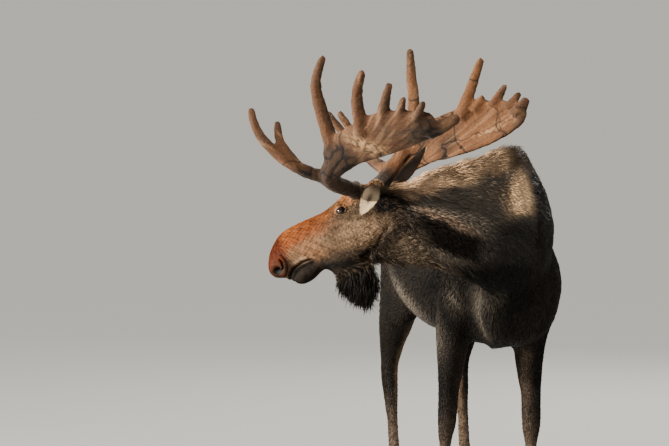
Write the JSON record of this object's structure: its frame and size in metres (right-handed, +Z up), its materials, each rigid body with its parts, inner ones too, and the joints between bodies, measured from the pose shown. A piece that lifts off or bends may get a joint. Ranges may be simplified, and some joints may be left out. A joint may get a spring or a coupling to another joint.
{
  "type": "moose",
  "caption": "Life-size still model of a standing bull moose in velvet, neck bent hard to its right, head seen in profile, palmate antlers, bell under the throat",
  "frame": {"origin": "centre of the footprint of the whole animal's bounding box, on the ground the hooves stand on", "axes": "+Z up; the trunk points along -Y and its left side is towards +X; the neck is bent to the animal's right, so the head lies towards -X"},
  "size_m": [1.7808, 2.6942, 2.4002],
  "materials": {
    "dark_coat": "coarse hair, near-black brown",
    "face_coat": "short hair, rust brown to grey brown",
    "pale_coat": "short hair, pale grey tan",
    "velvet": "velvet skin over bone, brown with cream patches",
    "eye": "wet, near-black brown",
    "horn": "worn dark horn"
  },
  "bodies": {
    "root": {"antler_beam_left": "velvet", "antler_beam_right": "velvet", "antler_brow_left": "velvet", "antler_brow_right": "velvet", "antler_palm_left": "velvet", "antler_palm_right": "velvet", "antler_tine_1_left": "velvet", "antler_tine_1_right": "velvet", "antler_tine_2_left": "velvet", "antler_tine_2_right": "velvet", "bell": "dark_coat", "dewclaw_fore_left_left": "horn", "dewclaw_fore_left_right": "horn", "dewclaw_fore_right_left": "horn", "dewclaw_fore_right_right": "horn", "dewclaw_hind_left_left": "horn", "dewclaw_hind_left_right": "horn", "dewclaw_hind_right_left": "horn", "dewclaw_hind_right_right": "horn", "ear_left": "face_coat", "ear_right": "face_coat", "eye_left": "eye", "eye_right": "eye", "foreleg_left_lower": "dark_coat", "foreleg_left_upper": "dark_coat", "foreleg_right_lower": "dark_coat", "foreleg_right_upper": "dark_coat", "head": "face_coat", "hindleg_left_lower": "pale_coat", "hindleg_left_upper": "dark_coat", "hindleg_right_lower": "pale_coat", "hindleg_right_upper": "dark_coat", "hoof_fore_left_left": "horn", "hoof_fore_left_right": "horn", "hoof_fore_right_left": "horn", "hoof_fore_right_right": "horn", "hoof_hind_left_left": "horn", "hoof_hind_left_right": "horn", "hoof_hind_right_left": "horn", "hoof_hind_right_right": "horn", "muzzle": "face_coat", "neck": "dark_coat", "tail": "dark_coat", "trunk": "dark_coat"}
  },
  "joints": []
}
